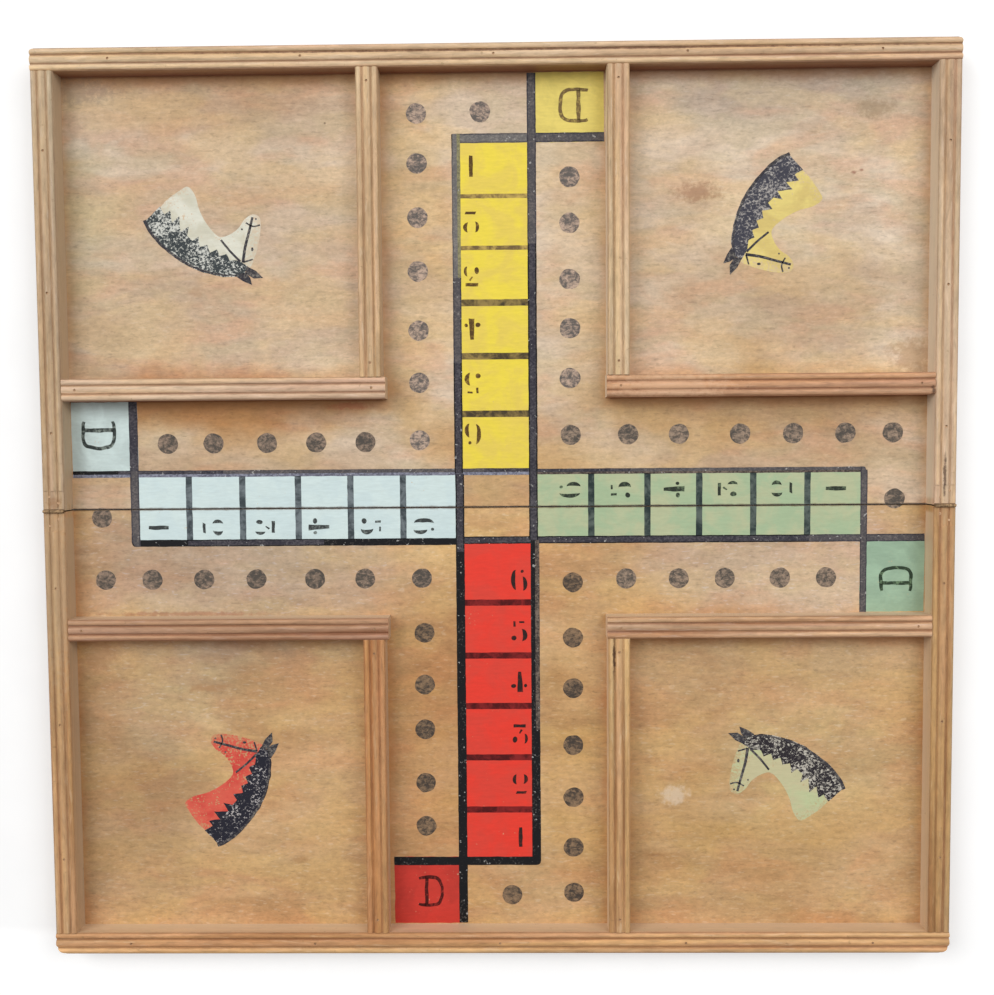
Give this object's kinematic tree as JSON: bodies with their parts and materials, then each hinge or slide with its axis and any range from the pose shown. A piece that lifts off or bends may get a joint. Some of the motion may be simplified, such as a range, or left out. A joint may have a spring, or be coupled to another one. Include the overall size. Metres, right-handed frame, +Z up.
{
  "type": "folding ludo board",
  "caption": "Wooden race-game board in two hinged halves, framed and divided by reeded strips, with a shallow tray in each corner; folds inwards into a flat box.",
  "frame": {"origin": "middle of the open board's underside, on the fold line", "axes": "+X to the right and +Y towards the half with the yellow squares, as in the picture; +Z up from the play side; the fold line lies along X"},
  "size_m": [0.4, 0.4, 0.0149],
  "materials": {
    "upper_plywood": "worn varnish, greyed",
    "lower_plywood": "worn varnish, warm",
    "upper_rails": "worn satin",
    "lower_rails": "worn satin",
    "upper_dividers": "worn satin",
    "lower_dividers": "worn satin",
    "hinge_brass": "dull, browned with age",
    "steel_pins": "dull, darkened"
  },
  "bodies": {
    "lower_half": {"lower_panel": "lower_plywood", "lower_long_rail": "lower_rails", "lower_left_rail": "lower_rails", "lower_right_rail": "lower_rails", "lower_left_cross_divider": "lower_dividers", "lower_left_side_divider": "lower_dividers", "lower_right_cross_divider": "lower_dividers", "lower_right_side_divider": "lower_dividers", "lower_panel_pins": "steel_pins", "left_hinge_lower_leaf": "hinge_brass", "left_hinge_pin": "hinge_brass", "right_hinge_lower_leaf": "hinge_brass", "right_hinge_pin": "hinge_brass", "lower_hinge_nails": "steel_pins"},
    "upper_half": {"upper_panel": "upper_plywood", "upper_long_rail": "upper_rails", "upper_left_rail": "upper_rails", "upper_right_rail": "upper_rails", "upper_left_cross_divider": "upper_dividers", "upper_left_side_divider": "upper_dividers", "upper_right_cross_divider": "upper_dividers", "upper_right_side_divider": "upper_dividers", "upper_panel_pins": "steel_pins", "left_hinge_upper_leaf": "hinge_brass", "right_hinge_upper_leaf": "hinge_brass", "upper_hinge_nails": "steel_pins"}
  },
  "joints": [
    {"name": "board_fold", "type": "hinge", "parent": "lower_half", "child": "upper_half", "pos_m": [0, 0, 0.01415], "axis": [1, 0, 0], "range_deg": [0, 180]}
  ]
}
